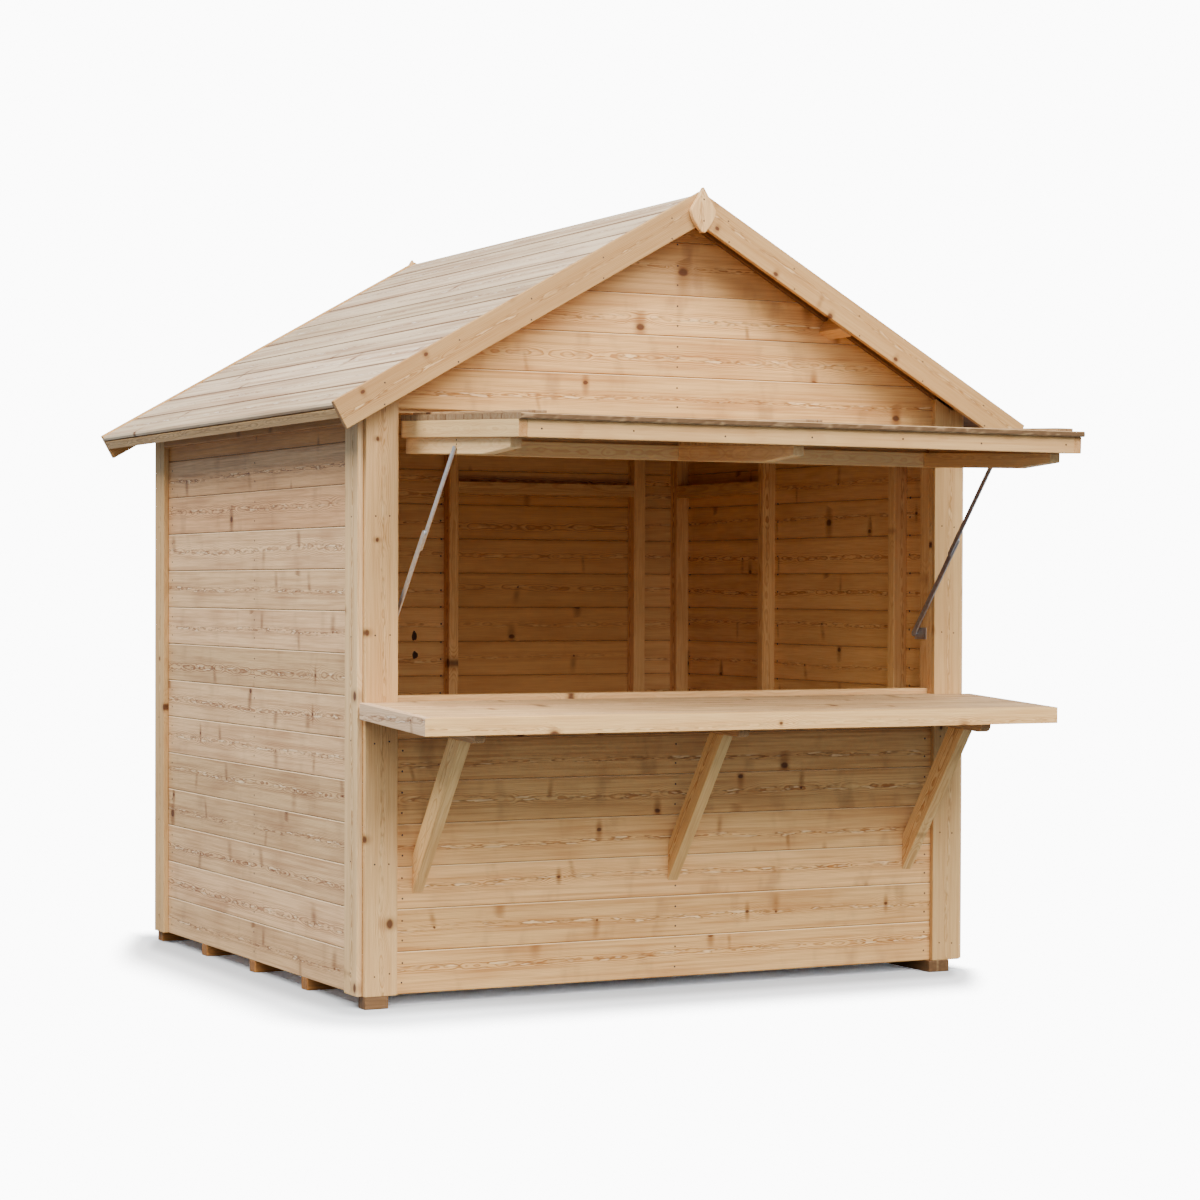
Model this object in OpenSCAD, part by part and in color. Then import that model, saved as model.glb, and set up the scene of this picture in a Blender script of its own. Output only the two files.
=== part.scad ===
// Gabled timber market stall with a top-hung serving flap, a fixed counter and a plank door at the back.
// Millimetres. Origin: ground under the middle bearer. Front faces -Y, Z is up.

/* [Hut] */
// Width over the side corner trims
hut_w = 2280; // [2100:10:2600]
// Depth over the front and back corner trims
hut_d = 2050; // [1900:10:2400]
// Thickness of the wall boards
board_t = 18; // [14:1:24]
// Thickness of the corner trims
trim_t = 20; // [14:1:26]
// Width of the front and back corner trims
front_trim_w = 112; // [95:1:130]
// Width of the side corner trims
side_trim_w = 105; // [80:1:130]
// Side of the wall posts, measured through the wall
post_s = 55; // [45:1:70]
// Depth of the friezes under the eaves, at the wall
frieze_h = 116; // [90:1:140]
// Width of the wall studs along the wall
stud_w = 40; // [30:1:60]

/* [Floor] */
// Width of a bearer
bearer_w = 55; // [40:1:80]
// Height of a bearer
bearer_h = 40; // [30:1:80]
// Thickness of the floor deck
floor_t = 20; // [16:1:30]
// Width of a front foot
foot_w = 82; // [60:1:105]
// Setback of the right foot from the side wall
foot_in = 43; // [20:1:60]

/* [Roof] */
// Slope of the roof in degrees
slope = 29.5; // [26:0.5:33]
// Height of the side walls' outer face under the roof
wall_z = 1966; // [1900:1:2050]
// Thickness of the roof boards
roof_t = 20; // [16:1:28]
// Overhang of the roof boards' underside past the side trims
eave_over = 133; // [100:1:180]
// Width of a barge board
barge_w = 96; // [80:1:120]
// Thickness of a barge board
barge_t = 20; // [16:1:28]
// Height of the barge boards' top above the roof boards
barge_lift = 6; // [0:1:12]
// Roof overhang in front of the front trims
front_over = 119; // [90:1:160]
// Roof overhang behind the back trims
back_over = 173; // [120:1:220]
// Width of the ridge beam and purlins
purlin_w = 50; // [40:1:70]
// Depth of the purlins below the roof boards
purlin_h = 75; // [60:1:95]
// Depth of the ridge beam at its centre line
ridge_h = 76; // [60:1:90]
// Place of a purlin down its slope, as a part of the slope's length
purlin_part = 0.4745; // [0.42:0.0005:0.54]
// Height of an eave batten
eave_h = 32; // [24:1:45]
// Width of an eave batten
eave_w = 30; // [20:1:45]
// Height of a finial plate
finial_h = 150; // [120:1:180]
// Width of a finial plate
finial_w = 92; // [70:1:110]
// Rise of a finial plate above the barge boards' joint
finial_rise = 12; // [6:1:20]
// Width of a finial plate at its foot
finial_tip = 14; // [8:1:24]

/* [Front] */
// Height of the counter's top at the wall
counter_z = 970; // [920:1:1000]
// Thickness of the counter
counter_t = 53; // [40:1:70]
// Slope of the counter down from the wall, in degrees
counter_slope = 3.2; // [0:0.1:5]
// Counter's overhang past the right-hand trim
counter_end = 18; // [0:1:30]
// Depth of the counter in front of the wall boards
counter_d = 538; // [450:1:600]
// Height of the counter's arms
counter_arm_h = 33; // [25:1:50]
// Length of the counter's arms
counter_arm_l = 480; // [420:1:500]
// Width of the counter's arms and struts
bracket_w = 38; // [30:1:60]
// Distance of the outer brackets' middle from the front trims
bracket_in = 86; // [80:1:200]
// Height of a strut's foot above ground
strut_foot_z = 361; // [300:1:420]
// Height of a strut's cut against the wall
strut_foot_h = 121; // [90:1:140]
// Length of a strut's cut against its arm
strut_head_l = 92; // [60:1:120]
// Reach of a strut in front of the wall
strut_reach = 374; // [320:1:400]
// Height of the sill's top above the counter
sill_rise = 18; // [12:1:26]
// Overhang of the sill into the room
sill_nose = 10; // [0:1:20]
// Thickness of the sill
sill_t = 30; // [20:1:40]
// Drop of the gable boards' lower edge below the top of the side walls
gable_drop = 69; // [50:1:90]
// Height of the header over the opening
header_h = 95; // [70:1:120]

/* [Flap] */
// Clearance of the closed flap above the counter
flap_foot = 8; // [6:1:14]
// Thickness of the flap's boards
flap_board_t = 18; // [14:1:22]
// Drop of the hinge axis below the gable boards' lower edge
hinge_drop = 21; // [16:1:28]
// Setback of the flap's rails from its boards at the hinges
rail_in = 4; // [2:1:8]
// Height of the flap's rails
rail_h = 53; // [40:1:60]
// Thickness of the flap's rails
rail_t = 28; // [20:1:36]
// Height of the flap's arms
arm_h = 50; // [42:1:60]
// Height of an arm at its tip
arm_tip_h = 30; // [18:1:36]
// Width of the flap's arms
arm_w = 38; // [30:1:45]
// Inset of the outer arms from the rails' outer face
arm_inset = 17; // [15:1:22]
// Setback of the arms' tips from the flap's front edge
arm_back = 108; // [90:1:180]
// Length of an arm's taper
arm_taper = 190; // [120:1:260]
// Droop of the open flap below level, in degrees
droop = 2.4; // [0:0.1:4]
// Width of a cleat on the flap
cleat_w = 62; // [45:1:80]
// Setback of the cleats from the flap's edges
cleat_in = 22; // [15:1:40]
// Thickness of a cleat on the flap
cleat_t = 9; // [6:1:14]
// Length of the hinge straps on the flap
flap_strap_l = 92; // [70:1:120]
// Spacing of the flap's hinges
hinge_pitch = 440; // [360:1:480]

/* [Stays] */
// Width of the lower stay bars
lower_bar_w = 20; // [16:1:22]
// Width of the upper stay bars
upper_bar_w = 17; // [14:1:20]
// Thickness of a stay bar
bar_t = 5; // [3:0.5:5]
// Length of the lower bar from its pivot
lower_bar_l = 430; // [400:1:460]
// Overlap of the two bars with the flap open
bar_lap = 77; // [50:1:100]
// Height of the lower pivot above ground
stay_z = 1178; // [1140:1:1220]
// Distance of the lower pivot behind the posts' inner edge
stay_back = 14; // [12:1:20]
// Distance of the upper pivot from the flap's hinge axis
stay_s = 400; // [370:1:430]
// Depth of the upper pivot in the arm
stay_n = 34; // [26:1:36]
// Length of the stay plates on the posts
plate_hold = 44; // [35:1:50]
// Radius of the stay pins
stay_pin_r = 4; // [3:0.5:5]

/* [Door] */
// Distance of the doorway from the right-hand corner of the room
door_side = 179; // [165:1:240]
// Width of the doorway
door_w = 808; // [740:1:830]
// Drop of the doorway's head below the gable boards' lower edge
door_drop = 147; // [110:1:200]
// Thickness of the door's battens
batten_t = 20; // [16:1:28]
// Width of the door's battens
batten_w = 90; // [70:1:120]
// Distance of the door's battens from its edges
batten_in = 64; // [60:1:90]
// Length of the hinge straps on the door
strap_l = 50; // [40:1:54]
// Distance of the hinges from the door's head and the deck
hinge_in = 270; // [200:1:340]
// Lap of the door over its posts
door_lap = 16; // [12:1:20]
// Width of the post on the hinge side
hinge_post_w = 51; // [40:1:60]
// Height of the rail over the doorway
head_h = 48; // [35:1:60]
// Height of the handle's middle above ground
handle_z = 1000; // [900:1:1100]
// Length of the handle
handle_l = 190; // [150:1:220]
// Width of the handle's bar
handle_w = 18; // [14:1:24]
// Thickness of the handle's bar
handle_t = 6; // [4:1:8]
// Height of the handle's bow
handle_out = 38; // [30:1:45]

/* [Hardware] */
// Thickness of hinge leaves and plates
leaf_t = 3; // [2:0.5:4]
// Radius of the hinge knuckles
knuckle_r = 6; // [5.5:0.5:7]
// Radius of the hinge pins
pin_r = 3; // [2.5:0.5:3.5]
// Length of a hinge knuckle
knuckle_l = 24; // [18:1:34]

/* [Fits] */
// Clearance round moving panels
gap = 6; // [5:0.5:8]
// Clearance of the flap from the posts at each side
flap_side_gap = 10.5; // [8:0.5:14]
// Clearance of pins in their bores
pin_gap = 0.4; // [0.2:0.1:0.6]
// Clearance round the knuckles
knuckle_gap = 2; // [1.5:0.5:3]
// Clearance between neighbouring bars and knuckles
slip = 1; // [0.8:0.1:2]

/* [Hidden] */
// Gap between the roof boards and the timber under them
seat = 0.3;

// Planes of the walls
y_trim = hut_d / 2;
y_clad = y_trim - trim_t;
y_frame = y_clad - board_t;
y_room = y_frame - post_s;
x_trim = hut_w / 2;
x_clad = x_trim - trim_t;
x_frame = x_clad - board_t;
x_room = x_frame - post_s;
x_open = x_clad - front_trim_w;
z_base = bearer_h;
z_deck = bearer_h + floor_t;

// Roof lines
ridge_z = wall_z + x_clad * tan(slope);
slope_len = (x_trim + eave_over) / cos(slope);
purlin_u = slope_len * purlin_part;
gable_z = wall_z - gable_drop;
door_z = gable_z - door_drop;
function under_z(x) = ridge_z - seat / cos(slope) - abs(x) * tan(slope);
function slope_pt(u, v) = [u * cos(slope) + v * sin(slope), ridge_z - u * sin(slope) + v * cos(slope)];
y_roof_f = -y_trim - front_over;
y_roof_b = y_trim + back_over;
barge_top = roof_t + barge_lift;
z_apex = ridge_z + barge_top / cos(slope);

// Floor
bearer_pitch = (hut_d - bearer_w) / 4;
runner_end = -bearer_pitch - bearer_w / 2 - gap;

// Front
sill_top = counter_z + sill_rise;
sill_under = sill_top - sill_t;
arm_z = counter_z - counter_t;
bracket_pitch = x_open - bracket_in;
brackets = [for (i = [-1:1]) i * bracket_pitch - bracket_w / 4];

// Flap, in its own frame: s runs forward from the hinge axis and n upward
hinge_y = -y_clad - leaf_t;
hinge_z = gable_z - hinge_drop;
header_z = hinge_z + knuckle_r + knuckle_gap;
flap_x = x_open - flap_side_gap;
flap_l = hinge_z - counter_z - flap_foot;
flap_lip = sill_rise + gap - flap_foot + slip;
arm_l = flap_l - arm_back;
board_s = knuckle_r + knuckle_gap;
rail_s = board_s + rail_in;
front_rail_s = flap_l - flap_lip;
n_rail = -flap_board_t;
n_arm = n_rail - rail_h;
n_low = n_arm - arm_h;
arm_x = flap_x - arm_inset - arm_w / 2;
hinge_xs = [for (i = [-1.5:1:1.5]) i * hinge_pitch];
sill_front = hinge_y + flap_board_t + gap;

// Stays
upper_bar_x = arm_x + arm_w / 2 + leaf_t;
lower_bar_x = upper_bar_x + bar_t + slip + 0.5;
pivot_y = -y_room + stay_back;
top_n = n_arm - stay_n;
top_y = hinge_y - stay_s * cos(droop) - top_n * sin(droop);
top_z = hinge_z - stay_s * sin(droop) + top_n * cos(droop);
stay_d = norm([top_y - pivot_y, top_z - stay_z]);
stay_a = atan2(pivot_y - top_y, top_z - stay_z);
upper_bar_l = stay_d - lower_bar_l + bar_lap;

// Door
door_x1 = x_room - door_side;
door_x = door_x1 - door_w;
door_y = y_frame + gap - 1;
door_face = door_y + board_t;
latch_post_x = door_x + door_lap - stud_w;
hinge_post_x = door_x1 - door_lap;
door_pin_x = door_x1 - gap + knuckle_r + slip / 2;
door_pin_y = door_face + leaf_t;
door_hinge_zs = [z_deck + hinge_in, door_z - hinge_in];
latch_batten_x = door_x + gap + batten_in;
hinge_batten_x = door_x1 - gap - batten_in - batten_w;
batten_end = 30;

// Studs, from the middle of the hut
left_stud_y = -20;
right_studs_y = [-682, 252];

pine = [0.84, 0.70, 0.53];
pale = [0.80, 0.74, 0.66];
brown = [0.52, 0.38, 0.24];
steel = [0.56, 0.57, 0.58];
$fn = 48;

// Box between two corners
module box(a, b) {
    translate(a) cube(b - a);
}

// Profile in X and Z, run from y0 to y1
module along_y(y0, y1) {
    translate([0, y1, 0]) rotate([90, 0, 0]) linear_extrude(y1 - y0) children();
}

// Profile in Y and Z, run from x0 to x1
module along_x(x0, x1) {
    translate([x0, 0, 0]) rotate([90, 0, 90]) linear_extrude(x1 - x0) children();
}

// The same piece on the left and on the right
module both_sides() {
    children();
    mirror([1, 0, 0]) children();
}

// Upright piece on the right-hand side, cut to the roof's slope at its top
module upright(x0, x1, z0, y0, y1) {
    along_y(y0, y1)
        polygon([[x0, z0], [x1, z0], [x1, under_z(x1)], [x0, under_z(x0)]]);
}

// Slab on the right-hand slope between two heights above the roof boards' underside
module slope_slab(v0, v1, y0, y1) {
    along_y(y0, y1)
        polygon([[0, ridge_z + v0 / cos(slope)], slope_pt(slope_len, v0),
            slope_pt(slope_len, v1), [0, ridge_z + v1 / cos(slope)]]);
}

// Profile of the ridge beam, or of the notch for it when lift is above 0
module ridge_profile(lift = 0) {
    h = purlin_w / 2;
    z0 = ridge_z - ridge_h;
    polygon([[-h, z0], [h, z0], [h, under_z(h) + lift], [0, under_z(0) + lift], [-h, under_z(h) + lift]]);
}

// Profile of the right-hand purlin, or of the notch for it when lift is above 0
module purlin_profile(lift = 0) {
    h = purlin_w / 2;
    polygon([slope_pt(purlin_u - h, -purlin_h), slope_pt(purlin_u + h, -purlin_h),
        slope_pt(purlin_u + h, lift - seat), slope_pt(purlin_u - h, lift - seat)]);
}

// Gable boards down to z0, let in round the purlins
module gable(z0, y0, y1) {
    difference() {
        along_y(y0, y1)
            polygon([[-x_clad, z0], [x_clad, z0], [x_clad, under_z(x_clad)], [0, under_z(0)],
                [-x_clad, under_z(x_clad)]]);
        along_y(y0 - 1, y1 + 1) ridge_profile(board_t);
        both_sides() along_y(y0 - 1, y1 + 1) purlin_profile(board_t);
    }
}

// The flap's own frame at rest
module on_flap() {
    translate([0, hinge_y, hinge_z]) rotate([droop, 0, 0]) children();
}

// Box on the flap from s0 to s1 forward and n0 to n1 upward
module flap_box(x0, x1, s0, s1, n0, n1) {
    box([x0, -s1, n0], [x1, -s0, n1]);
}

// Round bar along X
module rod_x(x0, x1, r) {
    translate([x0, 0, 0]) rotate([0, 90, 0]) cylinder(r = r, h = x1 - x0);
}

// Flat stay bar from its bored pivot up to its round end
module stay_bar(x0, l, w) {
    difference() {
        union() {
            rod_x(x0, x0 + bar_t, w / 2);
            box([x0, -w / 2, 0], [x0 + bar_t, w / 2, l - w / 2]);
            translate([0, 0, l - w / 2]) rod_x(x0, x0 + bar_t, w / 2);
        }
        rod_x(x0 - 1, x0 + bar_t + 1, stay_pin_r + pin_gap);
    }
}

module lower_bar() {
    color(steel) translate([0, pivot_y, stay_z]) rotate([stay_a, 0, 0]) 
        stay_bar(lower_bar_x, lower_bar_l, lower_bar_w);
}

module upper_bar() {
    color(steel) translate([0, top_y, top_z]) rotate([stay_a + 180, 0, 0]) 
        stay_bar(upper_bar_x, upper_bar_l, upper_bar_w);
}

module floor_bearers() {
    color(brown) for (i = [-1:2])
        translate([-x_clad, i * bearer_pitch - bearer_w / 2, 0]) cube([2 * x_clad, bearer_w, bearer_h]);
}

module front_feet() {
    color(brown) {
        box([-x_clad, -y_trim, 0], [-x_clad + foot_w, -y_trim + bearer_w, bearer_h]);
        box([x_clad - foot_in - foot_w, -y_trim, 0], [x_clad - foot_in, runner_end, bearer_h]);
    }
}

module floor_deck() {
    color(pine) box([-x_frame, -y_frame, z_base], [x_frame, y_frame, z_deck]);
}

module front_wall() {
    color(pine) box([-x_clad, -y_clad, z_base], [x_clad, -y_frame, counter_z]);
}

module front_gable() {
    color(pine) gable(gable_z, -y_clad, -y_frame);
}

module jamb_linings() {
    color(pine) both_sides() box([x_open, -y_clad, counter_z], [x_clad, -y_frame, gable_z]);
}

module side_wall() {
    color(pine) upright(x_frame, x_clad, z_base, -y_frame, y_frame);
}

module left_wall() {
    mirror([1, 0, 0]) side_wall();
}

module right_wall() {
    side_wall();
}

module back_wall_left() {
    color(pine) box([-x_clad, y_frame, z_base], [door_x, y_clad, door_z]);
}

module back_wall_right() {
    color(pine) box([door_x1, y_frame, z_base], [x_clad, y_clad, door_z]);
}

module back_gable() {
    color(pine) gable(door_z, y_frame, y_clad);
}

module corner_posts() {
    color(pine) both_sides() {
        upright(x_open, x_frame, z_deck, -y_frame, -y_room);
        upright(x_room, x_frame, z_deck, y_room, y_frame);
    }
}

module wall_studs() {
    color(pine) {
        for (y = right_studs_y) upright(x_room, x_frame, z_deck, y - stud_w / 2, y + stud_w / 2);
        mirror([1, 0, 0])
            upright(x_room, x_frame, z_deck, left_stud_y - stud_w / 2, left_stud_y + stud_w / 2);
        box([-stud_w / 2, -y_frame, z_deck], [stud_w / 2, -y_room, sill_under - post_s]);
        box([-stud_w / 2, -y_frame, header_z + header_h], [stud_w / 2, -y_room, ridge_z - ridge_h]);
    }
}

module door_posts() {
    color(pine) {
        upright(latch_post_x, latch_post_x + stud_w, z_deck, y_room, y_frame);
        upright(hinge_post_x, hinge_post_x + hinge_post_w, z_deck, y_room, y_frame);
    }
}

module head_rails() {
    color(pine) {
        box([latch_post_x + stud_w, y_room, door_z - head_h], [hinge_post_x, y_frame, door_z]);
        box([x_room, right_studs_y[1] + stud_w / 2, door_z - head_h], [x_frame, y_room, door_z]);
    }
}

module header() {
    color(pine) box([-x_open, -y_frame, header_z], [x_open, -y_room, header_z + header_h]);
}

module sill_rail() {
    color(pine) box([-x_open, -y_frame, sill_under - post_s], [x_open, -y_room, sill_under]);
}

module sill() {
    color(pine) box([-x_open, sill_front, sill_under], [x_open, -y_room + sill_nose, sill_top]);
}

module front_trims() {
    color(pine) both_sides() upright(x_open, x_clad, z_base, -y_trim, -y_clad);
}

module side_trims() {
    color(pine) both_sides() {
        upright(x_clad, x_trim, z_base, -y_clad, -y_clad + side_trim_w);
        upright(x_clad, x_trim, z_base, y_clad - side_trim_w, y_clad);
    }
}

module side_friezes() {
    color(pine) both_sides()
        upright(x_clad, x_trim, wall_z - frieze_h, -y_clad + side_trim_w, y_clad - side_trim_w);
}

module back_trims() {
    color(pine) both_sides() upright(x_open, x_clad, z_base, y_clad, y_trim);
}

module roof_purlins() {
    color(pine) {
        along_y(y_roof_f, y_roof_b) ridge_profile();
        both_sides() along_y(y_roof_f, y_roof_b) purlin_profile();
    }
}

module roof_left() {
    mirror([1, 0, 0]) roof_right();
}

module roof_right() {
    color(pale) slope_slab(0, roof_t, y_roof_f, y_roof_b);
}

module eave_battens() {
    color(pine) both_sides() along_y(y_roof_f, y_roof_b)
        polygon([slope_pt(slope_len - eave_w, -eave_h), slope_pt(slope_len, -eave_h),
            slope_pt(slope_len, -seat), slope_pt(slope_len - eave_w, -seat)]);
}

module barge(y0, y1) {
    color(pine) slope_slab(barge_top - barge_w, barge_top, y0, y1);
}

module front_barge_left() {
    mirror([1, 0, 0]) barge(y_roof_f - barge_t, y_roof_f);
}

module front_barge_right() {
    barge(y_roof_f - barge_t, y_roof_f);
}

module back_barge_left() {
    mirror([1, 0, 0]) barge(y_roof_b, y_roof_b + barge_t);
}

module back_barge_right() {
    barge(y_roof_b, y_roof_b + barge_t);
}

// Shield-shaped plate over the barge boards' joint
module finial_profile() {
    h = finial_w / 2;
    steps = 8;
    tip = finial_tip / 2;
    top = z_apex + finial_rise;
    side = [for (i = [0:steps]) let (t = i / steps)
        [tip + (h - tip) * sin(90 * t), top - finial_h + finial_h * 0.5 * t]];
    polygon(concat(side, [[0, top]], [for (i = [steps:-1:0]) [-side[i][0], side[i][1]]]));
}

module finials() {
    color(pine) {
        along_y(y_roof_f - 2 * barge_t, y_roof_f - barge_t) finial_profile();
        along_y(y_roof_b + barge_t, y_roof_b + 2 * barge_t) finial_profile();
    }
}

// Point under the counter, e out from the wall and h below its underside
function under_counter(e, h) = [-y_clad - e, arm_z - e * tan(counter_slope) - h];

module counter() {
    color(pine) difference() {
        along_x(-x_trim, x_trim + counter_end)
            polygon([under_counter(0, 0), under_counter(counter_d, 0), under_counter(counter_d, -counter_t),
                under_counter(0, -counter_t)]);
        both_sides() box([x_open, -y_trim, arm_z - trim_t], [hut_w, -y_clad + 1, counter_z + 1]);
    }
}

module counter_arms() {
    r = counter_arm_h * 0.8;
    steps = 6;
    nose = [for (i = [0:steps]) let (t = 90 * i / steps)
        under_counter(counter_arm_l - r + r * cos(t), counter_arm_h - r + r * sin(t))];
    color(pine) for (x = brackets) along_x(x - bracket_w / 2, x + bracket_w / 2)
        polygon(concat([under_counter(0, 0), under_counter(counter_arm_l, 0)], nose,
            [under_counter(0, counter_arm_h)]));
}

module counter_struts() {
    color(pine) for (x = brackets) along_x(x - bracket_w / 2, x + bracket_w / 2)
        polygon([[-y_clad, strut_foot_z], [-y_clad, strut_foot_z + strut_foot_h],
            under_counter(strut_reach - strut_head_l, counter_arm_h),
            under_counter(strut_reach, counter_arm_h)]);
}

module flap_hinge_leaves() {
    color(steel) for (x = hinge_xs) {
        box([x - knuckle_l, hinge_y, header_z - leaf_t], [x - slip, -y_frame + knuckle_l, header_z]);
        translate([0, hinge_y, hinge_z]) {
            rod_x(x - knuckle_l, x - slip, knuckle_r);
            rod_x(x - slip, x + knuckle_l, pin_r);
        }
    }
}

module flap_straps() {
    color(steel) on_flap() for (x = hinge_xs) difference() {
        union() {
            flap_box(x, x + knuckle_l, pin_r, flap_strap_l, 0, leaf_t);
            rod_x(x, x + knuckle_l, knuckle_r);
        }
        rod_x(x - 1, x + knuckle_l + 1, pin_r + pin_gap);
    }
}

module flap_boards() {
    color(pine) on_flap() flap_box(-flap_x, flap_x, board_s, flap_l, -flap_board_t, 0);
}

module flap_side_rails() {
    color(pine) on_flap() both_sides()
        flap_box(flap_x - rail_t, flap_x, rail_s, front_rail_s, n_arm, n_rail);
}

module flap_cross_rails() {
    x1 = flap_x - rail_t;
    h = arm_w / 2;
    color(pine) on_flap() {
        flap_box(-x1, x1, front_rail_s - rail_t, front_rail_s, n_arm, n_rail);
        flap_box(-x1, x1, rail_s, rail_s + rail_t, n_arm, n_rail);
        flap_box(-h, h, rail_s + rail_t, front_rail_s - rail_t, n_arm, n_rail);
    }
}

module flap_arms() {
    color(pine) on_flap() for (x = [-arm_x, 0, arm_x]) along_x(x - arm_w / 2, x + arm_w / 2)
        polygon([[-rail_s, n_arm], [-rail_s, n_low], [-arm_l + arm_taper, n_low],
            [-arm_l, n_arm - arm_tip_h], [-arm_l, n_arm]]);
}

module flap_rear_rails() {
    color(pine) on_flap() both_sides()
        flap_box(arm_w / 2, arm_x - arm_w / 2, rail_s, rail_s + arm_w, n_low, n_arm);
}

module flap_cleats() {
    x1 = flap_x - cleat_w;
    color(pine) on_flap() for (x = [-x1, 0, x1])
        flap_box(x - cleat_w / 2, x + cleat_w / 2, board_s + cleat_in, flap_l - cleat_in, 0, cleat_t);
}

module stay_post_plates() {
    color(steel) both_sides() translate([0, pivot_y, stay_z]) {
        box([x_open - leaf_t, -stay_back - plate_hold, -lower_bar_w],
            [x_open, lower_bar_w / 2 + leaf_t, lower_bar_w]);
        rod_x(lower_bar_x - 0.5, x_open - leaf_t, stay_pin_r);
    }
}

module stay_arm_pins() {
    color(steel) both_sides() on_flap() translate([0, -stay_s, top_n])
        rod_x(arm_x + arm_w / 2, upper_bar_x + bar_t + 0.5, stay_pin_r);
}

module left_lower_bar() {
    mirror([1, 0, 0]) lower_bar();
}

module left_upper_bar() {
    mirror([1, 0, 0]) upper_bar();
}

module right_lower_bar() {
    lower_bar();
}

module right_upper_bar() {
    upper_bar();
}

module door_leaf() {
    color(pine) box([door_x + gap, door_y, z_base + gap], [door_x1 - gap, door_face, door_z - gap]);
}

module door_battens() {
    z0 = z_base + gap + batten_end;
    z1 = door_z - gap - batten_end;
    color(pine) for (x = [latch_batten_x, hinge_batten_x])
        box([x, door_face, z0], [x + batten_w, door_face + batten_t, z1]);
}

module door_hinge_plates() {
    color(steel) for (z = door_hinge_zs) {
        box([door_pin_x, y_clad, z - knuckle_l], [door_x1 + strap_l, y_clad + leaf_t, z - slip]);
        translate([door_pin_x, door_pin_y, z - knuckle_l]) cylinder(r = knuckle_r, h = knuckle_l - slip);
        translate([door_pin_x, door_pin_y, z - slip]) cylinder(r = pin_r, h = knuckle_l + slip);
    }
}

module door_straps() {
    color(steel) for (z = door_hinge_zs) difference() {
        union() {
            box([door_x1 - gap - strap_l, door_face, z],
                [door_pin_x - pin_r, door_face + leaf_t, z + knuckle_l]);
            translate([door_pin_x, door_pin_y, z]) cylinder(r = knuckle_r, h = knuckle_l);
        }
        translate([door_pin_x, door_pin_y, z - 1]) cylinder(r = pin_r + pin_gap, h = knuckle_l + 2);
    }
}

// Bow handle of flat bar with turned-out feet
module door_handle() {
    x = latch_batten_x + batten_w / 2;
    h = handle_l / 2;
    t = handle_t;
    w = handle_w / 2;
    color(steel) translate([0, door_face + batten_t, handle_z]) along_x(x - w, x + w) {
        translate([0, -h]) square([t, 3 * t]);
        translate([0, h - 3 * t]) square([t, 3 * t]);
        difference() {
            translate([0, -h + 2 * t]) square([handle_out, 2 * h - 4 * t]);
            translate([-1, -h + 3 * t]) square([handle_out - t + 1, 2 * h - 6 * t]);
        }
    }
}

floor_bearers();
front_feet();
floor_deck();
front_wall();
front_gable();
jamb_linings();
left_wall();
right_wall();
back_wall_left();
back_wall_right();
back_gable();
corner_posts();
wall_studs();
door_posts();
head_rails();
header();
sill_rail();
sill();
front_trims();
side_trims();
side_friezes();
back_trims();
roof_purlins();
roof_left();
roof_right();
eave_battens();
front_barge_left();
front_barge_right();
back_barge_left();
back_barge_right();
finials();
counter();
counter_arms();
counter_struts();
flap_hinge_leaves();
stay_post_plates();
door_hinge_plates();
flap_boards();
flap_side_rails();
flap_cross_rails();
flap_arms();
flap_rear_rails();
flap_cleats();
flap_straps();
stay_arm_pins();
left_lower_bar();
left_upper_bar();
right_lower_bar();
right_upper_bar();
door_leaf();
door_battens();
door_straps();
door_handle();
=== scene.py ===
import math
import random

import bmesh
import bpy
import numpy as np
from mathutils import Matrix, Vector


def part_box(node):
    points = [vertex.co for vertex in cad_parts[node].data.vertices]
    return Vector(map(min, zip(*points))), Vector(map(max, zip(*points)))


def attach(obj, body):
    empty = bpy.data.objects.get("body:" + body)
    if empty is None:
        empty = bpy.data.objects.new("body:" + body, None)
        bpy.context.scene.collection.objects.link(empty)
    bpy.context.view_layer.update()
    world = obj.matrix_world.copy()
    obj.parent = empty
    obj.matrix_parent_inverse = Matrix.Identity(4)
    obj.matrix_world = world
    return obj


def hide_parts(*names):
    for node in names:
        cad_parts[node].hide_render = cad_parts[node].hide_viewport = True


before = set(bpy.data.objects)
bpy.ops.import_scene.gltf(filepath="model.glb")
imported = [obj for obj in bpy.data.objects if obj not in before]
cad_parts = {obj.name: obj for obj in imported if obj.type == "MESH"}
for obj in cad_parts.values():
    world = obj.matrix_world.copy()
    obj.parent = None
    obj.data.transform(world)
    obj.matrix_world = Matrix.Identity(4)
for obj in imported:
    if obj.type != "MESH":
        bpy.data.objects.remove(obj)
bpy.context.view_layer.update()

random.seed(41)
X, Y, Z = Vector((1, 0, 0)), Vector((0, 1, 0)), Vector((0, 0, 1))
SLOPE = math.radians(29.5)   # roof
DROOP = math.radians(2.4)    # open flap, below the level
BOARD = 0.135                # cover width of a wall board
BASE_Z = 0.040               # lower edge of the wall boards
ROOF_BOARD = 0.150
DECK_BOARD = 0.120
NAIL_TOP = 1.84              # no side wall nail above this
BACK_FACE = 0.987            # y of the back wall's inner face
RIGHT_FACE = 1.102           # x of the right wall's inner face
FAR = 9.0                    # stands for no joint near
KNOT_ALONG, KNOT_ACROSS = 3.4, 9.0   # knot cells in a metre of board
SPIKE_RATE = 3.0             # places for a spike knot in a metre of board
RINGS = 230.0                # growth rings in a metre


# Node helpers

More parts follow.
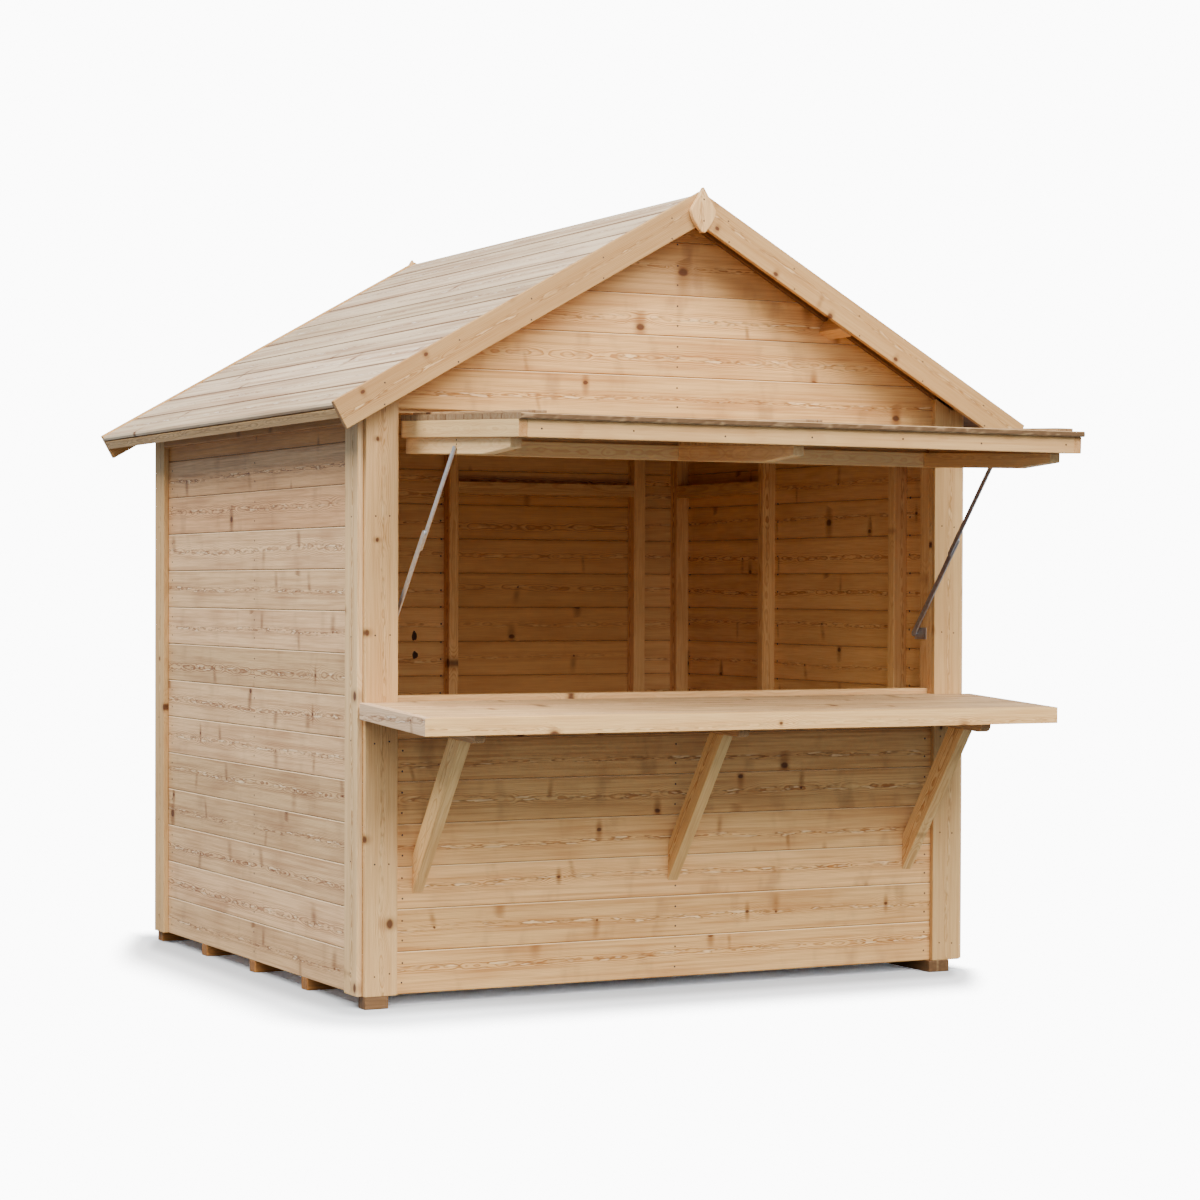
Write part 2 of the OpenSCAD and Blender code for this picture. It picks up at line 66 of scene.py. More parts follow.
class Graph:
    """Short names for making shader nodes and links."""

    def __init__(self, name):
        self.mat = bpy.data.materials.new(name)
        self.mat.use_nodes = True
        self.tree = self.mat.node_tree
        self.tree.nodes.clear()

    def add(self, kind, inputs=None, **props):
        n = self.tree.nodes.new(kind)
        for k, v in props.items():
            setattr(n, k, v)
        for k, v in (inputs or {}).items():
            if isinstance(v, bpy.types.NodeSocket):
                self.tree.links.new(v, n.inputs[k])
            else:
                n.inputs[k].default_value = v
        return n

    def math(self, op, a, b=0.0, c=0.0, clamp=False):
        n = self.add("ShaderNodeMath", {0: a, 1: b, 2: c}, operation=op, use_clamp=clamp)
        return n.outputs[0]

    def vmul(self, a, b):
        return self.add("ShaderNodeVectorMath", {0: a, 1: b}, operation="MULTIPLY").outputs[0]

    def noise(self, vec, scale=1.0, detail=2.0, rough=0.5):
        inputs = {"Vector": vec, "Scale": scale, "Detail": detail, "Roughness": rough}
        return self.add("ShaderNodeTexNoise", inputs).outputs["Fac"]

    def ramp(self, fac, lo, hi, out_lo=0.0, out_hi=1.0, smooth=True):
        n = self.add("ShaderNodeMapRange", {0: fac, 1: lo, 2: hi, 3: out_lo, 4: out_hi}, clamp=True)
        n.interpolation_type = "SMOOTHSTEP" if smooth else "LINEAR"
        return n.outputs[0]

    def mix(self, fac, a, b, mode="MIX"):
        n = self.add("ShaderNodeMix", data_type="RGBA", blend_type=mode)
        for i, v in ((0, fac), (6, a), (7, b)):
            if isinstance(v, bpy.types.NodeSocket):
                self.tree.links.new(v, n.inputs[i])
            else:
                n.inputs[i].default_value = v
        return n.outputs[2]

    def attr(self, name, out):
        return self.add("ShaderNodeAttribute", attribute_name=name).outputs[out]


def rgb(r, g, b):
    """sRGB 0-255 to linear."""
    def lin(c):
        c /= 255.0
        return c / 12.92 if c <= 0.04045 else ((c + 0.055) / 1.055) ** 2.4
    return (lin(r), lin(g), lin(b), 1.0)


def blend(a, b, t):
    """A colour part of the way from a to b."""
    return tuple(u + (v - u) * t for u, v in zip(a, b))


# Materials

def wood(name, early, late, knot, grey=0.0, grey_col=rgb(190, 182, 172), stain=0.25, knots=0.40, spikes=0.5,
         rough=0.62, mark=1.0, chain=1.0, pale=rgb(238, 200, 142), wide=0.010, gap=0.0024, soot=0.62, smudge=0.0,
         shed=1.0, lines=0.30, fine=100.0, painted_highlight=0.50, vary=0.22, smear=0.33):
    """Plain-sawn softwood: rings cut by the board, a chain of heart marks, knots, spike knots, fibres, dark joints.

    grey, stain, smudge and lines are shares of weathering, late wood, dark patches and grain; knots and spikes are
    shares of the cells that have one; mark and chain weigh the rings and the heart marks; gap, soot and shed are
    the joint's width, darkness and darkness above it; the highlight argument weighs a painted highlight, a pale
    lower lip where the upward edge of the board would catch light; vary is the spread of tone between boards.
    """
    g = Graph(name)
    p = g.attr("grain", "Vector")
    tint = g.attr("tint", "Fac")
    along, across, through = g.add("ShaderNodeSeparateXYZ", {0: p}).outputs

    # Fields of noise, all long in the grain's direction
    fibre = g.noise(g.vmul(p, (9.0, 420.0, 420.0)), 1.0, 1.0, 0.6)
    streak = g.noise(g.vmul(p, (1.3, 34.0, 34.0)), 1.0, 2.0, 0.55)
    thread = g.noise(g.vmul(p, (0.019 * fine, fine, fine)), 1.0, 2.0, 0.6)
    cloud = g.noise(g.vmul(p, (2.6, 10.0, 10.0)), 1.0, 2.0, 0.5)
    wob = g.math("MULTIPLY_ADD", g.noise(p, 90.0, 2.0), 0.006, -0.003)
    sway = g.math("MULTIPLY_ADD", g.noise(g.vmul(p, (1.3, 0.4, 0.4)), 1.0, 2.0), 0.044, -0.022)
    lift = g.math("MULTIPLY_ADD", g.noise(g.vmul(p, (6.0, 1.0, 1.0)), 1.0, 2.5, 0.6), 0.034, -0.017)
    bx = g.math("ADD", across, sway)
    cx = g.math("ADD", through, lift)

    # Round knots, one to a cell at most
    grid = g.vmul(p, (KNOT_ALONG, KNOT_ACROSS, 0.0))
    cells = g.add("ShaderNodeTexVoronoi", {"Vector": grid, "Scale": 1.0, "Randomness": 0.9}, voronoi_dimensions="2D")
    away = g.add("ShaderNodeVectorMath", {0: grid, 1: cells.outputs["Position"]}, operation="SUBTRACT").outputs[0]
    dx, dy, _ = g.add("ShaderNodeSeparateXYZ", {0: g.vmul(away, (1 / KNOT_ALONG, 1 / KNOT_ACROSS, 0.0))}).outputs
    pick_a, pick_b, _ = g.add("ShaderNodeSeparateColor", {0: cells.outputs["Color"]}).outputs
    has = g.math("LESS_THAN", pick_a, knots)
    size = g.math("MULTIPLY_ADD", g.math("MULTIPLY", pick_b, pick_b), 0.0100, 0.0056)
    ex = g.math("MULTIPLY", g.math("ADD", dx, wob), 0.72)
    dist = g.math("SQRT", g.math("ADD", g.math("MULTIPLY", ex, ex), g.math("MULTIPLY", dy, dy)))
    rel = g.math("DIVIDE", dist, size)
    core = g.math("MULTIPLY", g.ramp(rel, 1.15, 0.55), has)
    hy = g.math("MULTIPLY", dy, smear)
    soft = g.math("SQRT", g.math("ADD", g.math("MULTIPLY", dx, dx), g.math("MULTIPLY", hy, hy)))
    halo = g.math("MULTIPLY", g.ramp(g.math("DIVIDE", soft, size), 2.7, 0.4), has)
    near = g.math("MULTIPLY", g.ramp(dist, 0.060, 0.004), has)

    # Spike knots, which run across one half of the board
    line = g.add("ShaderNodeTexVoronoi", {"W": g.math("MULTIPLY", along, SPIKE_RATE), "Scale": 1.0},
                 voronoi_dimensions="1D")
    way, lean, big = g.add("ShaderNodeSeparateColor", {0: line.outputs["Color"]}).outputs
    sx = g.math("SUBTRACT", along, g.math("DIVIDE", line.outputs["W"], SPIKE_RATE))
    sx = g.math("ADD", sx, g.math("MULTIPLY", bx, g.math("MULTIPLY_ADD", lean, 0.5, -0.25)))
    sx = g.math("ABSOLUTE", g.math("MULTIPLY_ADD", wob, 0.9, sx))
    half = g.math("MULTIPLY_ADD", big, wide * 1.4, wide)
    side = g.math("MULTIPLY", bx, g.math("SIGN", g.math("SUBTRACT", lean, 0.5)))
    spike = g.math("MULTIPLY", g.ramp(g.math("DIVIDE", sx, half), 1.0, 0.0),
                   g.math("MULTIPLY", g.ramp(side, -0.008, 0.010), g.ramp(side, 0.082, 0.030)))
    here = g.math("LESS_THAN", way, spikes)
    spike = g.math("MULTIPLY", g.math("MULTIPLY", spike, g.ramp(streak, 0.30, 0.60, 0.45, 1.0)), here)
    tip = g.math("SQRT", g.math("ADD", g.math("MULTIPLY", sx, sx), g.math("MULTIPLY", bx, bx)))
    tip = g.math("MULTIPLY", g.ramp(tip, 0.0055, 0.0030),
                 g.math("MULTIPLY", here, g.math("GREATER_THAN", big, 0.45)))

    # Growth rings, and the chain of heart marks where the board touches them
    r = g.math("SQRT", g.math("ADD", g.math("MULTIPLY", bx, bx), g.math("MULTIPLY", cx, cx)))
    r = g.math("MULTIPLY_ADD", near, 0.013, r)
    ripple = g.noise(g.vmul(p, (14.0, 70.0, 70.0)), 1.0, 2.0)
    rings = g.math("MULTIPLY_ADD", r, RINGS, g.math("MULTIPLY", ripple, 0.8))
    f = g.math("FRACT", rings)
    band = g.math("MULTIPLY", g.ramp(f, 0.35, 0.84), g.ramp(f, 1.0, 0.91))
    age = g.add("ShaderNodeCombineXYZ", {0: g.math("MULTIPLY", r, 95.0), 1: g.math("MULTIPLY", along, 0.25)})
    years = g.noise(age.outputs[0], 1.0, 2.0)
    strong = g.math("MULTIPLY", band, g.ramp(years, 0.30, 0.70, 0.30, 1.0))
    heart = g.ramp(g.math("ABSOLUTE", bx), 0.040, 0.006, 0.38, 1.0)
    lens = g.noise(g.vmul(p, (13.0, 105.0, 0.0)), 1.0, 2.0)
    belt = g.math("MULTIPLY", g.ramp(g.math("ABSOLUTE", bx), 0.013, 0.004), g.ramp(cloud, 0.34, 0.52, 0.35, 1.0))
    rim = g.math("MULTIPLY", belt, g.math("MULTIPLY", g.ramp(lens, 0.49, 0.55), g.ramp(lens, 0.63, 0.57)))
    fleck = g.math("MULTIPLY", belt, g.ramp(lens, 0.57, 0.64))

    # Colour: rings, fibres, stains, weathering, tone of the board, then marks and knots
    col = g.mix(g.math("MULTIPLY", g.math("MULTIPLY", strong, heart), 0.85 * mark), early, late)
    col = g.mix(g.ramp(fibre, 0.30, 0.75, 0.0, 0.24), col, late)
    col = g.mix(g.ramp(cloud, 0.42, 0.80, 0.0, stain), col, late)
    if grey:
        wear = g.math("MULTIPLY", g.ramp(streak, 0.15, 0.8, 0.60, 1.0), grey)
        col = g.mix(wear, col, grey_col)
    col = g.mix(g.ramp(thread, 0.40, 0.72, 0.0, lines), col, late)
    if smudge:
        smoke = g.noise(g.vmul(p, (7.5, 3.2, 0.0)), 1.0, 3.0, 0.55)
        col = g.mix(g.ramp(smoke, 0.52, 0.74, 0.0, smudge), col, rgb(126, 85, 54))
    tone = g.math("MULTIPLY_ADD", tint, vary, 1.0 - 0.5 * vary)
    cool = g.math("POWER", tone, 1.3)
    col = g.mix(1.0, col, g.add("ShaderNodeCombineColor", {0: tone, 1: tone, 2: cool}).outputs[0], "MULTIPLY")
    brown = blend(knot, late, 0.45)
    col = g.mix(g.math("MULTIPLY", rim, 0.74 * chain), col, brown)
    col = g.mix(g.math("MULTIPLY", fleck, 0.70 * chain), col, pale)
    col = g.mix(g.math("MULTIPLY", spike, 0.52 * mark), col, brown)
    col = g.mix(g.math("MULTIPLY", halo, 0.56 * mark), col, brown)
    col = g.mix(g.math("MULTIPLY", g.math("MAXIMUM", core, tip), 0.88), col, knot)

    # Sawn ends and joints
    end = g.attr("end", "Fac")
    col = g.mix(g.math("MULTIPLY", end, g.ramp(ripple, 0.2, 0.8, 0.25, 0.60)), col, blend(late, knot, 0.40))
    low, high, _ = g.add("ShaderNodeSeparateXYZ", {0: g.attr("joint", "Vector")}).outputs
    col = g.mix(g.ramp(g.math("MINIMUM", low, high), 0.016, 0.002, 0.0, 0.22), col, late)
    d = g.math("MINIMUM", low, g.math("ADD", high, gap * shed))
    col = g.mix(g.ramp(d, gap, gap * 0.35, 0.0, 0.85), col, blend(late, (0.030, 0.014, 0.005, 1.0), soot))
    # Pale upper edge of each board: a painted highlight where the upward bevel would catch light
    if painted_highlight:
        col = g.mix(g.ramp(high, 0.0044, 0.0014, 0.0, painted_highlight), col, pale)

    bump = g.add("ShaderNodeBump", {"Strength": 0.22, "Distance": 0.0010, "Height": fibre})
    shade = g.add("ShaderNodeBsdfPrincipled", {
        "Base Color": col, "Roughness": g.ramp(fibre, 0.2, 0.8, rough - 0.06, rough + 0.10),
        "Specular IOR Level": 0.28, "Normal": bump.outputs[0]})
    out = g.add("ShaderNodeOutputMaterial")
    g.tree.links.new(shade.outputs[0], out.inputs[0])
    return g.mat


def steel(name, col, rough=0.42):
    """Zinc-plated steel with a soft spangle and light scratches along its length."""
    g = Graph(name)
    p = g.add("ShaderNodeTexCoord").outputs["Object"]
    spangle = g.add("ShaderNodeTexVoronoi", {"Vector": p, "Scale": 140.0})
    cell = g.add("ShaderNodeSeparateColor", {0: spangle.outputs["Color"]}).outputs[0]
    dull = g.noise(p, 26.0, 4.0)
    fine = g.noise(g.vmul(p, (400.0, 60.0, 60.0)), 1.0, 3.0)
    c = g.mix(g.ramp(cell, 0.0, 1.0, 0.0, 0.35), col, (0.75, 0.76, 0.77, 1.0))
    c = g.mix(g.ramp(dull, 0.55, 0.8, 0.0, 0.4), c, (0.30, 0.28, 0.26, 1.0))
    bump = g.add("ShaderNodeBump", {"Strength": 0.1, "Distance": 0.0005, "Height": fine})
    shade = g.add("ShaderNodeBsdfPrincipled", {
        "Base Color": c, "Metallic": 0.85, "Roughness": g.ramp(dull, 0.2, 0.8, rough - 0.08, rough + 0.15),
        "Normal": bump.outputs[0]})
    out = g.add("ShaderNodeOutputMaterial")
    g.tree.links.new(shade.outputs[0], out.inputs[0])
    return g.mat


def rust(name):
    """Dark nail heads, dull with a little rust."""
    g = Graph(name)
    p = g.add("ShaderNodeTexCoord").outputs["Object"]
    c = g.mix(g.ramp(g.noise(p, 60.0, 3.0), 0.4, 0.65), (0.045, 0.030, 0.020, 1.0), (0.105, 0.055, 0.026, 1.0))
    shade = g.add("ShaderNodeBsdfPrincipled", {
        "Base Color": c, "Metallic": 0.25, "Roughness": g.ramp(g.noise(p, 300.0, 2.0), 0.3, 0.7, 0.5, 0.75)})
    out = g.add("ShaderNodeOutputMaterial")
    g.tree.links.new(shade.outputs[0], out.inputs[0])
    return g.mat


KNOT = rgb(84, 42, 14)
PINE = wood("pine", rgb(246, 195, 126), rgb(174, 104, 46), KNOT, lines=0.46, mark=1.15, stain=0.40, knots=0.34,
            spikes=0.36, chain=0.85, smudge=0.40, gap=0.0029, soot=0.72, painted_highlight=0.70, pale=rgb(252, 218, 163))
# A darker copy of the pine, for the boards high on the front gable
GABLE_TOP_PINE = wood("gable_top_pine", rgb(211, 163, 103), rgb(146, 94, 46), KNOT, stain=0.6, knots=0.5, spikes=0.5,
                 chain=0.5, smudge=0.6)
PINE_IN = wood("pine_frame", rgb(228, 180, 118), rgb(180, 116, 56), KNOT, knots=0.16, spikes=0.0, chain=0.3, smear=0.8)
PINE_ROOM = wood("pine_room", rgb(230, 179, 116), rgb(178, 112, 54), KNOT, stain=0.3, knots=0.13, spikes=0.24,
                 chain=0.6, lines=0.14, painted_highlight=0.0, vary=0.14)
PINE_DOOR = wood("pine_door", rgb(211, 156, 92), rgb(162, 98, 44), KNOT, stain=0.3, knots=0.10, spikes=0.14,
                 chain=0.35, lines=0.14, painted_highlight=0.0, vary=0.14)
# Pale copies of the frame pine for the parts under the flap: painted light standing in for light bounced up into the
# flap's shade
PAINTED_FILL_PINE = wood("painted_fill_pine", rgb(246, 202, 138), rgb(198, 140, 80), KNOT, knots=0.14, spikes=0.0, chain=0.0,
                 mark=0.5, smear=0.8)
PAINTED_BRIGHT_FILL_PINE = wood("painted_bright_fill_pine", rgb(255, 222, 158), rgb(220, 162, 98), KNOT, knots=0.10, spikes=0.0, chain=0.0,
                  mark=0.5, smear=0.8)
PINE_SIDE = wood("pine_side", rgb(244, 197, 140), rgb(150, 94, 50), KNOT, grey=0.14, grey_col=rgb(204, 173, 138),
                 smudge=0.25, stain=0.45, knots=0.10, spikes=0.42, pale=rgb(248, 216, 170), wide=0.016, lines=0.40,
                 mark=1.2, gap=0.0031, soot=0.78, painted_highlight=0.80, vary=0.30)
PINE_ROOF = wood("pine_roof", rgb(218, 188, 146), rgb(142, 100, 64), rgb(108, 68, 36), grey=0.42,
                 grey_col=rgb(204, 186, 160), stain=0.45, knots=0.06, spikes=0.06, mark=0.9, pale=rgb(240, 226, 206),
                 gap=0.0085, soot=0.55, shed=0.0, lines=0.72, fine=38.0, painted_highlight=0.0, vary=0.26)
PINE_EDGE = wood("pine_edge", rgb(228, 184, 123), rgb(178, 118, 60), KNOT, knots=0.55, spikes=0.06,
                 chain=0.6, smear=0.7)
PINE_BARGE = wood("pine_barge", rgb(206, 161, 101), rgb(160, 102, 48), KNOT, knots=0.70, spikes=0.06,
                  chain=0.6, smear=0.7)
PINE_RAIL = wood("pine_rail", rgb(202, 158, 106), rgb(146, 96, 50), KNOT, knots=0.30, spikes=0.0, chain=0.3, smear=0.8)
PINE_GREY = wood("pine_grey", rgb(230, 190, 142), rgb(164, 114, 70), KNOT, grey=0.25, grey_col=rgb(192, 172, 150),
                 knots=0.1, spikes=0.1, pale=rgb(224, 206, 182))
PINE_FLAP = wood("pine_flap", rgb(190, 154, 108), rgb(124, 86, 48), rgb(66, 36, 16), grey=0.40,
                 grey_col=rgb(148, 126, 96), rough=0.75, pale=rgb(196, 166, 130), gap=0.0040, shed=0.0, painted_highlight=0.0)
# Darker copy of the pine for the roof boards' downward faces: painted shade under the roof
UNDERSIDE_SHADE_PINE = wood("underside_shade_pine", rgb(150, 104, 58), rgb(104, 66, 32), rgb(60, 32, 14), knots=0.3, spikes=0.2, chain=0.0)
# Dark wood for the verge strips: painted shade
PINE_SHADE = wood("pine_shade", rgb(134, 92, 51), rgb(92, 58, 30), rgb(52, 28, 12), knots=0.2, spikes=0.0, chain=0.0)
# Darker, browner copies of the side wall's pine for the boards under the eave: painted shade
EAVE_SHADE_PINE = wood("eave_shade_pine", rgb(231, 176, 119), rgb(140, 86, 44), KNOT, grey=0.10, grey_col=rgb(196, 156, 116),
                  smudge=0.30, stain=0.45, knots=0.10, spikes=0.42, pale=rgb(240, 200, 150), wide=0.016, lines=0.38,
                  mark=1.2, gap=0.0031, soot=0.78, painted_highlight=0.70, vary=0.30)
EAVE_DEEP_SHADE_PINE = wood("eave_deep_shade_pine", rgb(206, 144, 77), rgb(150, 90, 40), KNOT, stain=0.45, knots=0.10, spikes=0.42,
                 wide=0.016, lines=0.38, mark=1.2, gap=0.0031, soot=0.78)
PINE_FASCIA = wood("pine_fascia", rgb(216, 171, 112), rgb(158, 114, 66), KNOT, knots=0.2, spikes=0.1, chain=0.3,
                   lines=0.5)
# Darker copy of the barge pine for the left front barge board: painted shade
LEFT_BARGE_SHADE_PINE = wood("left_barge_shade_pine", rgb(190, 148, 93), rgb(148, 94, 44), KNOT, knots=0.70, spikes=0.06,
                  chain=0.6, smear=0.7)
PINE_TRIM = wood("pine_trim", rgb(244, 204, 148), rgb(188, 132, 76), KNOT, knots=0.50, spikes=0.06,
                 chain=0.6, smear=0.7)
FOOT = wood("foot", rgb(126, 91, 56), rgb(86, 60, 34), rgb(50, 28, 12), knots=0.2, spikes=0.0, chain=0.3)
PINE_TOP = wood("pine_top", rgb(246, 202, 142), rgb(168, 116, 66), KNOT, grey=0.16, grey_col=rgb(206, 184, 158),
                stain=0.45, smudge=0.2, knots=0.30, spikes=0.10, chain=0.6, lines=0.80)
PINE_NOSE = wood("pine_nose", rgb(250, 203, 132), rgb(190, 122, 58), KNOT, knots=0.45, spikes=0.0, chain=0.4, smear=0.8)
BEARER = wood("bearer", rgb(200, 133, 66), rgb(122, 76, 34), rgb(50, 28, 12), grey=0.15, grey_col=rgb(126, 98, 68))
KNOT_WOOD = wood("knot_wood", rgb(70, 40, 20), rgb(36, 18, 8), rgb(22, 10, 5), knots=0.3, spikes=0.0)
STEEL = steel("zinc_steel", (0.50, 0.51, 0.52, 1.0))
NAIL = rust("nail")


# Timber from the frame's own solids

def solid_bm(node):
    """The node's mesh with its flat faces joined."""
    bm = bmesh.new()
    bm.from_mesh(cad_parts[node].data)
    bmesh.ops.remove_doubles(bm, verts=bm.verts, dist=1e-5)
    bmesh.ops.dissolve_limit(bm, angle_limit=math.radians(0.6), verts=bm.verts, edges=bm.edges)
    return bm


def islands(bm):
    """Lists of faces, one for each separate solid."""
    left, out = set(bm.faces), []
    while left:
        todo, seen = [next(iter(left))], set()
        while todo:
            f = todo.pop()
            if f in seen:
                continue
            seen.add(f)
            for e in f.edges:
                todo.extend(n for n in e.link_faces if n not in seen)
        left -= seen
        out.append(seen)
    return sorted(out, key=lambda fs: tuple(round(v, 3) for v in min(tuple(f.calc_center_median()) for f in fs)))


def pick(bm, faces):
    """A new bmesh with only these faces."""
    verts, index, new = {}, [], bmesh.new()
    for f in sorted(faces, key=lambda f: f.index):
        loop = []
        for v in f.verts:
            if v not in verts:
                verts[v] = new.verts.new(v.co)
            loop.append(verts[v])
        index.append(loop)
    for loop in index:
        new.faces.new(loop)
    new.normal_update()
    return new


def axes_of(bm):
    """The solid's own long, wide and thin directions."""
    pts = np.array([v.co[:] for v in bm.verts])
    c = pts.mean(0)
    _, vec = np.linalg.eigh(np.cov((pts - c).T))
    a = Vector(vec[:, 2])
    b = Vector(vec[:, 1])
    if max(a, key=abs) < 0:
        a = -a
    return a.normalized(), b.normalized()


def soften(bm, size, segments, keep=None):
    """Rounds the solid's sharp edges."""
    edges = [e for e in bm.edges if len(e.link_faces) == 2 and e.calc_face_angle(0) > 0.35]
    if keep:
        edges = [e for e in edges if keep(e)]
    if edges:
        bmesh.ops.bevel(bm, geom=edges, offset=size, segments=segments, profile=0.5, affect="EDGES",
                        clamp_overlap=True)


def grain(bm, along, across, low=-FAR, high=FAR):
    """Writes each point's place in its log, and one random tone for the piece."""
    through = along.cross(across).normalized()
    across = through.cross(along).normalized()
    mid = sum((v.co for v in bm.verts), Vector()) / len(bm.verts)
    g = bm.verts.layers.float_vector.new("grain")
    t = bm.verts.layers.float.new("tint")
    j = bm.verts.layers.float_vector.new("joint")
    e = bm.faces.layers.float.new("end")
    bm.normal_update()
    for f in bm.faces:
        f[e] = 1.0 if abs(f.normal.dot(along)) > 0.8 else 0.0
    tone = random.random()
    shift = random.uniform(0, 60)
    side = random.gauss(0.0, 0.007)
    deep = random.choice((-1, 1)) * random.uniform(0.002, 0.014)
    flip = random.choice((-1, 1))
    for v in bm.verts:
        d = v.co - mid
        v[g] = (flip * d.dot(along) + shift, d.dot(across) + side, d.dot(through) + deep)
        v[t] = tone
        h = v.co.dot(across)
        v[j] = (h - low, high - h, 0.0)


def join(parts):
    """One bmesh from many, with their grain and tone."""
    out = bmesh.new()
    g = out.verts.layers.float_vector.new("grain")
    t = out.verts.layers.float.new("tint")
    j = out.verts.layers.float_vector.new("joint")
    e = out.faces.layers.float.new("end")
    for bm in parts:
        bg, bt = bm.verts.layers.float_vector["grain"], bm.verts.layers.float["tint"]
        bj, be = bm.verts.layers.float_vector["joint"], bm.faces.layers.float["end"]
        table = {}
        for v in bm.verts:
            n = out.verts.new(v.co)
            n[g], n[t], n[j] = v[bg], v[bt], v[bj]
            table[v] = n
        for f in bm.faces:
            nf = out.faces.new([table[v] for v in f.verts])
            nf[e] = f[be]
        bm.free()
    return out


def piece(name, bm, body, mat, nodes=(), more=()):
    """Makes the Blender object, hangs it on its body and hides what it stands for.

    more lists further materials, each with a test for the faces it goes on; the last that passes wins.
    """
    me = bpy.data.meshes.new(name)
    bmesh.ops.recalc_face_normals(bm, faces=bm.faces)
    bm.to_mesh(me)
    bm.free()
    me.materials.append(mat)
    ob = bpy.data.objects.new(name, me)
    bpy.context.scene.collection.objects.link(ob)
    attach(ob, body)
    if nodes:
        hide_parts(*nodes)
    for i, (other, test) in enumerate(more, 1):
        me.materials.append(other)
        for f in me.polygons:
            if test(f):
                f.material_index = i
    return ob


def timber(node, body, mat, edge=0.0025, along=None, more=()):
    """A node's sawn pieces, with rounded edges and their own grain."""
    whole, parts = solid_bm(node), []
    for faces in islands(whole):
        bm = pick(whole, faces)
        a, b = axes_of(bm)
        if along is not None:
            a = along.normalized()
            b = a.orthogonal() if abs(a.dot(b)) > 0.9 else b
        soften(bm, edge, 2)
        grain(bm, a, b)
        parts.append(bm)
    whole.free()
    return piece(node + "_timber", join(parts), body, mat, [node], more)


def cut(bm, co, no):
    """Keeps the side of a plane that its normal points away from, closed."""
    geom = bm.verts[:] + bm.edges[:] + bm.faces[:]
    bmesh.ops.bisect_plane(bm, geom=geom, plane_co=co, plane_no=no, clear_outer=True)
    open_edges = [e for e in bm.edges if e.is_boundary]
    if open_edges:
        bmesh.ops.holes_fill(bm, edges=open_edges)


def ragged(bm, across, hi, depth=0.0022, band=0.004, cuts=110):
    """Chips the board's outer edge, only inwards."""
    edges = [e for e in bm.edges if all(hi - v.co.dot(across) < band for v in e.verts) and e.calc_length() > 0.5]
    bmesh.ops.subdivide_edges(bm, edges=edges, cuts=cuts)
    for v in bm.verts:
        if hi - v.co.dot(across) < band:
            v.co -= across * (random.random() ** 3 * depth)


def boarded(node, body, mat, along, across, pitch, origin, vee=0.003, joints=None, lip=FAR, more=(), thin=0.012):
    """A node's slab as separate boards with a V at each joint; no board is narrower than thin."""
    whole, parts = solid_bm(node), []
    span = [v.co.dot(across) for v in whole.verts]
    lo, hi = min(span), max(span)
    if joints is None:
        first, last = math.floor((lo - origin) / pitch), math.ceil((hi - origin) / pitch)
        joints = [origin + k * pitch for k in range(first, last + 1)]
    joints = [lo] + [j for j in joints if lo + thin < j < hi - thin] + [hi]
    for low, high in zip(joints, joints[1:]):
        bm = whole.copy()
        if low > lo:
            cut(bm, across * low, -across)
        if high < hi:
            cut(bm, across * high, across)
        soften(bm, vee, 1, lambda e: abs((e.verts[0].co - e.verts[1].co).normalized().dot(along)) > 0.98)
        if lip < 1 and high == hi:
            ragged(bm, across, hi)
        grain(bm, along, across, low if low > lo else -FAR, high if high < hi else hi + lip)
        parts.append(bm)
    whole.free()
    return piece(node + "_boards", join(parts), body, mat, [node], more)


def nails(name, body, spots, r=0.0036, h=0.0007):
    """Flat nail heads, each a low eight-sided dome."""
    bm = bmesh.new()
    for co, no in spots:
        no = no.normalized()
        u = no.orthogonal().normalized()
        w = no.cross(u)
        low = [bm.verts.new(co - no * 0.0006 + (u * math.cos(a) + w * math.sin(a)) * r)
               for a in (math.tau * i / 8 for i in range(8))]
        top = [bm.verts.new(co + no * h + (u * math.cos(a) + w * math.sin(a)) * r * 0.8)
               for a in (math.tau * i / 8 for i in range(8))]
        for i in range(8):
            j = (i + 1) % 8
            bm.faces.new((low[i], low[j], top[j], top[i]))
        bm.faces.new(top)
        bm.faces.new(low[::-1])
    return piece(name, bm, body, NAIL)


# Walls, roof, floor, flap and door, board by board

DOWN = Vector((math.cos(SLOPE), 0, -math.sin(SLOPE)))
DOWN_L = Vector((-math.cos(SLOPE), 0, -math.sin(SLOPE)))
FLAP_S = Vector((0, -math.cos(DROOP), -math.sin(DROOP)))
FLAP_N = Vector((0, -math.sin(DROOP), math.cos(DROOP)))

# The left wall's top boards take the darker copies: painted shade under the eave
boarded("left_wall", "stall", PINE_SIDE, Y, Z, BOARD, BASE_Z,
        more=[(EAVE_SHADE_PINE, lambda f: f.center.z > BASE_Z + 11 * BOARD),
              (EAVE_DEEP_SHADE_PINE, lambda f: f.center.z > BASE_Z + 12.5 * BOARD)])
boarded("right_wall", "stall", PINE_SIDE, Y, Z, BOARD, BASE_Z,
        more=[(PINE_ROOM, lambda f: f.normal.x < -0.5)])
boarded("front_wall", "stall", PINE, X, Z, BOARD, BASE_Z)
for n in ("back_wall_left", "back_wall_right", "back_gable"):
    boarded(n, "stall", PINE, X, Z, BOARD, BASE_Z, more=[(PINE_ROOM, lambda f: f.normal.y < -0.5)])
